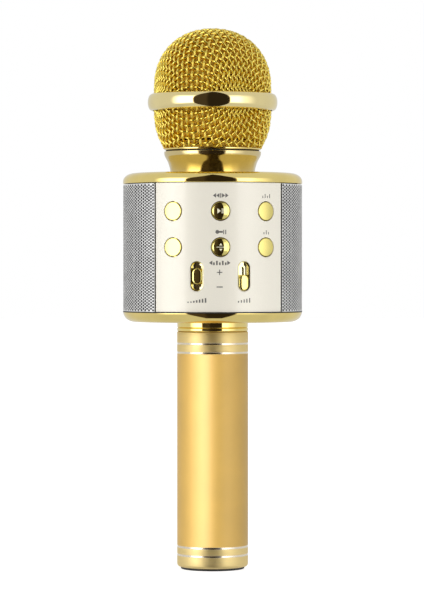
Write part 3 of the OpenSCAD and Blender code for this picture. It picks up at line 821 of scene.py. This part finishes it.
def woven(name, line, keep, node):
    """Plain-woven wires laid over a surface of revolution.

    line runs from the pole outwards as (radius, height) through the middle of the cloth.
    keep(height) says where there are wires.
    """
    line = np.array(line)
    run_out = line[-1] + (line[-1] - line[-2]) / np.linalg.norm(line[-1] - line[-2]) * 15 * MM
    line = np.vstack([line, run_out])
    along = np.concatenate([[0], np.cumsum(np.hypot(*np.diff(line, axis=0).T))])
    slope = np.gradient(line, along, axis=0)
    outward = 1 if line[-1, 1] < line[0, 1] else -1

    def surface(p):
        rho, angle = math.hypot(*p), math.atan2(p[1], p[0])
        r = np.interp(rho, along, line[:, 0])
        return np.array([r * math.cos(angle), r * math.sin(angle), np.interp(rho, along, line[:, 1])])

    count = int(along[-1] / WEAVE_PITCH)
    quarter = fishnet(surface, WEAVE_PITCH, count)
    square = np.stack(np.meshgrid(*[np.arange(count + 1) * WEAVE_PITCH] * 2, indexing="ij"), 2)
    quarter = WEAVE_DRAPE * quarter + (1 - WEAVE_DRAPE) * square
    angles = np.arange(WIRE_SIDES) * TAU / WIRE_SIDES
    c, s = WIRE / 2 * np.cos(angles)[:, None], WIRE / 2 * np.sin(angles)[:, None]
    for family, thread in enumerate(("warp", "weft")):
        verts, faces, base = [], [], 0
        for i in range(-count, count + 1):
            j = np.arange(-count, count + 1)
            signs = np.stack([np.full_like(j, 1 if i >= 0 else -1), np.sign(j)], 1)
            nodes_uv = quarter[abs(i), np.abs(j)] * signs
            if family:
                nodes_uv = nodes_uv[:, ::-1]
            uv = smooth_path(nodes_uv, WIRE_STEPS)
            t = j[0] + np.arange(len(uv)) / WIRE_STEPS
            rho = np.hypot(uv[:, 0], uv[:, 1])
            angle = np.arctan2(uv[:, 1], uv[:, 0]) + WEAVE_TURN
            r, z = np.interp(rho, along, line[:, 0]), np.interp(rho, along, line[:, 1])
            dr, dz = np.interp(rho, along, slope[:, 0]), np.interp(rho, along, slope[:, 1])
            crimp = WIRE / 2 * np.cos(np.pi * (t + i)) * (1, -1)[family]
            flat = np.stack([-dz * outward, dr * outward], 1)
            flat /= np.linalg.norm(flat, axis=1)[:, None]
            normal = np.stack([flat[:, 0] * np.cos(angle), flat[:, 0] * np.sin(angle), flat[:, 1]], 1)
            centre = np.stack([r * np.cos(angle), r * np.sin(angle), z], 1) + normal * crimp[:, None]
            for run in runs(keep(z) & (rho < along[-1] - 2 * MM)):
                path, lift = centre[run], normal[run]
                if len(path) < 4:
                    continue
                tangent = np.gradient(path, axis=0)
                tangent /= np.linalg.norm(tangent, axis=1)[:, None]
                across = np.cross(tangent, lift)
                across /= np.linalg.norm(across, axis=1)[:, None]
                lift = np.cross(across, tangent)
                rings = path[:, None] + c * across[:, None] + s * lift[:, None]
                verts.append(rings.reshape(-1, 3))
                faces += skin(WIRE_SIDES, len(path), base)
                base += rings.size // 3
        obj = new_object(f"{name}_{thread}", np.concatenate(verts), faces, sharp=math.radians(60))
        settle(obj, node, body="head")


def runs(shown):
    """Index ranges where shown holds without a break."""
    turns = np.flatnonzero(np.diff(np.concatenate([[0], shown, [0]])))
    return [slice(start, end) for start, end in turns.reshape(-1, 2)]


WIRE = 1.05 * MM
WIRE_SIDES = 8
WIRE_STEPS = 8
WEAVE_PITCH = 2.8 * MM
WEAVE_DRAPE = 0.6
WEAVE_TURN = math.radians(-90 - 26)
DOME_POWER = 2.15


def dome_line(inset, foot, count=160):
    """Outline of the dome from its crown down to foot, inset from the outer surface."""
    points = []
    for k in range(count + 1):
        a = math.pi / 2 * (1 - k / count)
        e = 2 / DOME_POWER
        c = max(math.cos(a), 0) if k else 0
        points.append(((DOME_R - inset) * c ** e, DOME_Z + (DOME_TOP - DOME_Z - inset) * math.sin(a) ** e))
    points.append((DOME_R - inset + 0.1 * MM, foot))
    return points


# Basket from its foot up: radius, and height above the foot, in mm
BASKET_SIDE = [
    (22.15, 0), (23.2, 2), (24.6, 4.9), (25.55, 7.6), (26.2, 10.6), (26.6, 14), (26.75, 18), (26.75, 20.9),
]


def basket_side(inset):
    rs = [(r * MM, BASKET_LOW + z * MM) for r, z in BASKET_SIDE]
    heights = np.linspace(rs[0][1], rs[-1][1], 60)
    radii = np.interp(heights, [z for _, z in rs], [r for r, _ in rs])
    smooth = np.convolve(np.pad(radii, 6, mode="edge"), np.ones(13) / 13, mode="valid")
    smooth[:3] = radii[:3]
    return [(r - inset, z) for r, z in zip(smooth, heights)]


def head_meshes():
    dome = dome_line(WIRE, BASKET_TOP + 0.3 * MM)
    woven("head_dome", dome, lambda z: z > BASKET_TOP + 0.4 * MM, "head_dome_mesh")
    side = basket_side(WIRE)
    floor = [(side[0][0] * k / 40, BASKET_LOW) for k in range(40)]
    low = BASKET_LOW + 0.2 * MM
    woven("head_basket", floor + side, lambda z: (z > low) & (z < BASKET_TOP), "head_basket_mesh")


def head_ring():
    inner, edge = 26.95 * MM, RING_R - 1.7 * MM
    mid = (RING_LOW + RING_TOP) / 2
    outline = [(inner, RING_LOW + 0.1 * MM), (edge - 0.2 * MM, RING_LOW)]
    steps = 20
    for k in range(steps + 1):
        a = -math.pi / 2 + math.pi * k / steps
        high = (RING_TOP - mid - 0.15 * MM) * math.sin(a)
        outline.append((edge + (RING_R - edge) * math.cos(a), mid + high))
    outline += [(edge - 0.2 * MM, RING_TOP), (inner, RING_TOP - 0.1 * MM)]
    turned("head_ring", outline, segments=256, body="head")


def head_collar():
    low, high = bottom("head_collar"), top("head_collar")
    inner, spigot, outer = 16.8 * MM, 18.22 * MM, 21.8 * MM
    upstand_in, upstand_out = 19.2 * MM, 19.9 * MM
    outline = rounded([
        (inner, low, 0.2 * MM), (spigot, low, 0.3 * MM), (spigot, COLLAR_LOW, 0),
        (outer, COLLAR_LOW, 0.25 * MM), (outer, BASKET_LOW, 0.2 * MM), (upstand_out, BASKET_LOW, 0),
        (upstand_out, high, 0.1 * MM), (upstand_in, high, 0.1 * MM), (upstand_in, BASKET_LOW, 0),
        (inner, BASKET_LOW, 0),
    ])
    turned("head_collar", outline, "gold_plated", "upstand_gold", body="head",
           material_of=lambda z: int(z > BASKET_LOW + 0.1 * MM))


def seal_ring():
    low, high = bottom("head_seal_ring"), top("head_seal_ring")
    inner, outer = 18.6 * MM, 21.1 * MM
    outline = rounded([
        (inner, low, 0.1 * MM), (outer, low, 0.2 * MM), (outer, high, 0.2 * MM), (inner, high, 0.1 * MM),
    ])
    settle(lathe("seal_ring_turned", outline), "head_seal_ring", body="seal_ring")


def foam():
    """Foam lining of the head, slightly lumpy as cut foam is."""
    inset, thick = 2 * WIRE + 0.25 * MM, 2.6 * MM
    low = bottom("foam_windscreen")
    outer = [p for p in reversed(basket_side(inset)) if p[1] > low]
    crown = dome_line(inset, BASKET_TOP, 60)
    inner = [(r - thick, z) for r, z in reversed(outer)]
    inner_crown = dome_line(inset + thick, BASKET_TOP, 60)
    outline = crown + outer + inner + inner_crown[::-1]
    obj = lathe("foam_lining", outline, 128)
    rng = np.random.default_rng(4)
    for v in obj.data.vertices:
        v.co *= 1 + float(rng.normal(0, 0.0006))
        v.co.z = max(v.co.z, low)
    settle(obj, "foam_windscreen", body="head")


# ---- Controls ----

MARK_T = 0.14 * MM


def crown_of(name):
    """Height of a button's crown above the axis and the radius of its dome."""
    crown, rim = (40.5 * MM, 39.45 * MM) if BUTTONS[name] == 0 else (40.4 * MM, 40.1 * MM)
    rise = crown - rim
    return crown, (BUTTON_R ** 2 + rise ** 2) / (2 * rise)


def dome_edge(crown, crown_r, steps=14):
    """Button side and crown: a small round at the rim, then the dome up to its middle."""
    edge = 0.25 * MM
    reach = BUTTON_R - edge
    rim = crown - crown_r + math.sqrt(crown_r ** 2 - reach ** 2)
    points = corner_arc(reach, rim - edge, edge, edge, 0, 72, 4)
    for k in range(steps + 1):
        x = reach * (1 - k / steps)
        points.append((x, crown - crown_r + math.sqrt(crown_r ** 2 - x * x)))
    return points


def buttons():
    stem_r, stem_in = 0.82 * MM, 34.9 * MM
    flange_r, flange_in, flange_out = 4.9 * MM, 36.8 * MM, 37.7 * MM
    for name, angle in BUTTONS.items():
        outline = [(0, stem_in), (stem_r, stem_in), (stem_r, flange_in), (flange_r, flange_in)]
        outline += [(flange_r, flange_out), (BUTTON_R, flange_out)]
        outline += dome_edge(*crown_of(name))
        piece = lathe(name + "_cap", outline, 72, on_wall(angle, middle(name).z))
        settle(piece, name, body=name)


def button_marks():
    """Generic play-and-pause sign on one centre button, a bar and two arrows on the other."""

    def placer(name):
        matrix = on_wall(BUTTONS[name], middle(name).z)
        crown, crown_r = crown_of(name)

        def place(x, y, lift):
            x, y = x * MM, y * MM
            z = crown - crown_r + math.sqrt(crown_r ** 2 - x * x - y * y)
            return matrix @ Vector((x, y, z - 0.02 * MM + lift))

        return place

    bars = [[(x, -1.1), (x + 0.35, -1.1), (x + 0.35, 1.1), (x, 1.1)] for x in (0.45, 1.15)]
    triangle = [(-1.5, -1.1), (0.05, 0), (-1.5, 1.1)]
    line = [(-1.9, -0.12), (0, -0.12), (1.9, -0.12), (1.9, 0.12), (0, 0.12), (-1.9, 0.12)]
    arrow_up = [(-0.7, 0.75), (0.7, 0.75), (0, 1.75)]
    arrow_down = [(-0.7, -0.75), (0, -1.75), (0.7, -0.75)]
    signs = (
        ("button_upper_centre", "play_pause", [triangle] + bars),
        ("button_lower_centre", "up_down", [line, arrow_up, arrow_down]),
    )
    for name, sign, shapes in signs:
        marks = slab("mark_" + sign, shapes, placer(name), MARK_T)
        settle(marks, None, "mark_pale", body=name, slot="gold_button")


def sliders():
    outer_w, outer_h, soft = SLOT_W - 0.1 * MM, SLOT_H - 0.1 * MM, 0.2 * MM
    low, floor, rim = 36.4 * MM, 37.6 * MM, 39.95 * MM
    opening = 1.7 * MM, 8.4 * MM
    wall, end_wall = 0.6 * MM, 0.5 * MM
    lines = [oblong(*opening, low), oblong(outer_w, outer_h, low)]
    lines += [oblong(outer_w, outer_h, rim - 0.15 * MM), oblong(outer_w - soft, outer_h - soft, rim)]
    lines += [oblong(outer_w - wall, outer_h - end_wall, rim - 0.05 * MM)]
    for k in range(9):
        a = math.pi / 2 * k / 8
        inset, end_inset = (w + c * MM * (1 - math.cos(a)) for w, c in ((wall, 1.5), (end_wall, 0.3)))
        z = floor + (rim - 0.3 * MM - floor) * (1 - math.sin(a))
        lines.append(oblong(outer_w - inset, outer_h - end_inset, z))
    lines.append(oblong(*opening, floor))
    walls = [on_wall(side * SLIDER_ANGLE, SLIDER_Z) for side in (-1, 1)]
    dishes = [loft("dish", lines, matrix, close_loop=True) for matrix in walls]
    settle(join("slider_dishes", dishes), "slider_bezels", "dish_gold")

    w, h, edge = 4.4 * MM, 7 * MM, 0.55 * MM
    foot, base, shoulder, crown = 34.9 * MM, 37.8 * MM, 39.6 * MM, 40.25 * MM
    stem = 1.2 * MM, 2.4 * MM
    lines = [oblong(*stem, foot), oblong(*stem, base), oblong(w - 0.3 * MM, h - 0.3 * MM, base)]
    lines += [oblong(w, h, base + 0.15 * MM), oblong(w, h, shoulder)]
    for k in range(1, 6):
        a = math.radians(82) * k / 5
        inset = 2 * edge * (1 - math.cos(a))
        lines.append(oblong(w - inset, h - inset, shoulder + edge * math.sin(a)))
    rise = crown - lines[-1][0].z
    for k in range(1, 5):
        inset = 2 * edge + 0.8 * MM * k
        lines.append(oblong(w - inset, h - inset, crown - rise * (1 - k / 4) ** 2))
    strip = [oblong(2.6 * MM, 14.4 * MM, z * MM) for z in (36.24, 36.36)]
    for name, side in (("volume_knob", -1), ("echo_knob", 1)):
        matrix = on_wall(side * SLIDER_ANGLE, middle(name).z)
        settle(loft(name + "_cap", lines, matrix), name, body=name)
        cover = loft(name + "_dust_strip", strip, matrix)
        settle(cover, None, "dish_gold", body=name, slot="gold_button")


def printed_marks():
    """Small generic signs printed on the panel: rows of bars by the controls, a plus and a minus."""

    def place(x, y, lift):
        a = x * MM / PANEL_R
        r = PANEL_R - 0.01 * MM + lift
        return Vector((r * math.sin(a), -r * math.cos(a), y * MM))

    def bar(x, y, w, h):
        steps = max(int(w / 0.8), 1)
        xs = [x - w / 2 + w * k / steps for k in range(steps + 1)]
        return [(a, y - h / 2) for a in xs] + [(a, y + h / 2) for a in reversed(xs)]

    def bars(x, y, heights, pitch, width=0.7):
        """Row of upright bars on one line, like a level meter."""
        start = x - pitch * (len(heights) - 1) / 2
        return [bar(start + pitch * k, y - 1 + h / 2, width, h) for k, h in enumerate(heights)]

    def arrows(x, y, aim, count=2):
        """Row of triangles that point left (-1) or right (1)."""
        shapes = []
        for k in range(count):
            back = x + 1.5 * (k - (count - 1) / 2) - 0.7 * aim
            corners = [(back, y - 1), (back + 1.4 * aim, y), (back, y + 1)]
            shapes.append(corners if aim > 0 else corners[::-1])
        return shapes

    knob_z = SLIDER_Z / MM
    over_upper = middle("button_upper_left").z / MM + 6.8
    over_lower = middle("button_lower_left").z / MM + 6.7
    under_lower, under_slider = over_lower - 13.6, knob_z - 10.6
    plus, minus = knob_z + 1.7, knob_z - 4.7
    column = BUTTONS["button_upper_right"] * PANEL_R / MM
    slider = SLIDER_ANGLE * PANEL_R / MM
    rising = [0.5, 0.8, 1.1, 1.4, 1.7, 2.0]
    shapes = arrows(-2.0, over_upper, -1) + arrows(2.0, over_upper, 1) + [bar(0, over_upper, 0.45, 2.0)]
    shapes += [circle_line(-1.5, over_lower, 0.85, 20), bar(0.1, over_lower, 1.6, 0.8)]
    shapes += bars(1.75, over_lower, (1.9, 1.9), 0.9, 0.4)
    shapes += arrows(-4.4, under_lower, -1, 1) + arrows(3.6, under_lower, 1, 1)
    shapes += bars(-0.4, under_lower, (1.2, 1.9, 1.2, 1.9, 1.2), 1.3)
    shapes += bars(-slider, under_slider, [0.4] + rising, 1.3)
    shapes += bars(slider, under_slider, rising[1:], 1.3, 0.5)
    shapes += bars(column, over_upper, (1.0, 1.8, 1.0, 1.8), 1.25, 0.4)
    shapes += bars(column, over_lower, (1.0, 1.8, 1.0), 1.25, 0.4)
    shapes += [bar(-0.5, plus, 2.4, 0.4), bar(-0.5, plus, 0.4, 2.4), bar(-0.5, minus, 2.7, 0.45)]
    marks = slab("panel_marks", shapes, place, 0.03 * MM)
    settle(marks, None, "print_grey", slot="panel_champagne")


base_pad()
handle_tube()
collars()
caps()
neck()
front_panel()
back_panel()
grille(-1)
grille(1)
head_meshes()
head_ring()
head_collar()
seal_ring()
foam()
buttons()
button_marks()
sliders()
printed_marks()

# ---- Studio ----


def studio_floor():
    verts = [(6 * x, 6 * y, 0) for x, y in SQUARE]
    floor = new_object("studio_floor", verts, [(0, 1, 2, 3)], sharp=None)
    n = Look("studio_floor", (0.5, 0.5, 0.5), 0.8, metallic=0)
    n.tint(n.noise(0.5), (0.49, 0.49, 0.49), (0.51, 0.51, 0.51))
    n.put("Emission Color", WHITE)
    n.put("Emission Strength", 0.8)
    floor.data.materials.append(n.material)
    floor.visible_glossy = False


VIEW_AZIMUTH = math.radians(-5.1)
CAMERA_DISTANCE, CAMERA_HEIGHT, CAMERA_AIM = 1.367, 0.1382, 0.1215
CAMERA_LENS, CAMERA_SHIFT = 181.3, -0.001
MIRROR_WALL, MIRROR_FLOOR = 0.69, 0.64
LEFT_STRIP, RIGHT_STRIP = 3.0, 2.2
OPENING_TINT = (1, 0.72, 0.5, 1)
WHITE = (1, 1, 1, 1)
KEY_ANGLE, KEY_DISTANCE, KEY_HEIGHT, KEY_AIM = math.radians(-24), 1.2, 0.08, 0.06
KEY_SIZE, KEY_POWER = (0.66, 0.5), 17


def round_table(angle, distance, height):
    """Point at an angle from the camera's side of the object, turning towards +X."""
    a = VIEW_AZIMUTH + angle
    return Vector((distance * math.sin(a), -distance * math.cos(a), height))


def aim_at(obj, height):
    """Turns a camera or light towards a point on the object's axis."""
    aim = Vector((0, 0, height)) - obj.location
    obj.rotation_euler = aim.to_track_quat("-Z", "Y").to_euler()


class WorldTree(Tree):
    """The world's node tree, with short ways to do sums."""

    def value(self, operation, *inputs):
        node = self.add("Math", operation=operation)
        for socket, source in zip(node.inputs, inputs):
            if isinstance(source, (int, float)):
                socket.default_value = source
            else:
                self.link(source, socket)
        return node.outputs[0]

    def times(self, first, second):
        return self.value("MULTIPLY", first, second)

    def soft(self, source, start, end, low=0, high=1):
        return self.ramp(source, start, end, low, high, "SMOOTHSTEP")


def world():
    """White studio as seen in mirrors: a dark opening in front, a strip light on each side of it.

    Directions are in degrees: side runs from the camera's side of the object towards +X, height up.
    The camera itself sees plain white.
    """
    scene_world = bpy.data.worlds.new("studio")
    bpy.context.scene.world = scene_world
    scene_world.use_nodes = True
    w = WorldTree(scene_world.node_tree)
    mapping = w.add("Mapping", vector_type="VECTOR")
    mapping.inputs["Rotation"].default_value = (0, 0, -VIEW_AZIMUTH)
    w.link(w.add("TexCoord").outputs["Generated"], mapping.inputs["Vector"])
    axes = w.add("SeparateXYZ")
    w.link(mapping.outputs["Vector"], axes.inputs["Vector"])
    x, y, z = axes.outputs
    side = w.times(w.value("ARCTAN2", x, w.times(y, -1)), 180 / math.pi)
    height = w.times(w.value("ARCSINE", z), 180 / math.pi)
    steep = w.value("ABSOLUTE", height)
    past_left = w.value("SUBTRACT", side, w.soft(steep, 12, 75, -35, -16))
    past_right = w.value("SUBTRACT", side, w.soft(steep, 12, 75, 31.5, 22))
    dark = w.times(w.soft(past_left, -1.5, 1.5), w.soft(past_right, -1.5, 1.5, 1, 0))
    dark = w.times(dark, w.soft(height, -72, -66))
    left = w.times(w.soft(side, -82, -57), w.soft(side, -1, 0, 1, 0))
    right = w.times(w.soft(side, 58, 88, 1, 0), w.soft(side, 0, 1))
    right = w.times(right, w.soft(side, 46, 62, 1, 0.4))
    near = w.times(w.soft(height, 14, 36, 1, 0), w.soft(height, -26, -12))
    level = w.soft(height, -36, -14, MIRROR_FLOOR, MIRROR_WALL)
    for strip, strength in ((left, LEFT_STRIP), (right, RIGHT_STRIP)):
        level = w.value("ADD", level, w.times(w.times(strip, near), strength - MIRROR_WALL))
    inside = w.soft(side, -13, -6, 0.06, 0.025)
    level = w.value("ADD", w.times(level, w.value("SUBTRACT", 1, dark)), w.times(inside, dark))
    shade = w.add("Mix", data_type="RGBA")
    shade.inputs["A"].default_value = WHITE
    shade.inputs["B"].default_value = OPENING_TINT
    w.link(dark, shade.inputs["Factor"])
    light = w.tree.nodes["Background"]
    w.link(shade.outputs["Result"], light.inputs["Color"])
    w.link(level, light.inputs["Strength"])
    plain = w.add("Background")
    plain.inputs["Color"].default_value = WHITE
    mix = w.add("MixShader")
    w.link(w.add("LightPath").outputs["Is Camera Ray"], mix.inputs["Fac"])
    w.link(light.outputs["Background"], mix.inputs[1])
    w.link(plain.outputs["Background"], mix.inputs[2])
    w.link(mix.outputs["Shader"], w.tree.nodes["World Output"].inputs["Surface"])


def handle_key():
    """Soft light on the satin handle alone, so that its sheen runs smoothly round its front."""
    data = bpy.data.lights.new("handle_key", "AREA")
    data.shape = "RECTANGLE"
    data.size, data.size_y = KEY_SIZE
    data.energy = KEY_POWER
    obj = in_scene("handle_key", data)
    obj.location = round_table(KEY_ANGLE, KEY_DISTANCE, KEY_HEIGHT)
    aim_at(obj, KEY_AIM)
    lit = bpy.data.collections.new("lit_by_handle_key")
    lit.objects.link(bpy.data.objects["handle_tube_sleeve"])
    obj.light_linking.receiver_collection = lit


def camera():
    data = bpy.data.cameras.new("camera")
    data.lens = CAMERA_LENS
    data.shift_x = CAMERA_SHIFT
    obj = in_scene("camera", data)
    obj.location = round_table(0, CAMERA_DISTANCE, CAMERA_HEIGHT)
    aim_at(obj, CAMERA_AIM)
    bpy.context.scene.camera = obj


studio_floor()
world()
handle_key()
camera()
bpy.context.scene.view_settings.view_transform = "Standard"
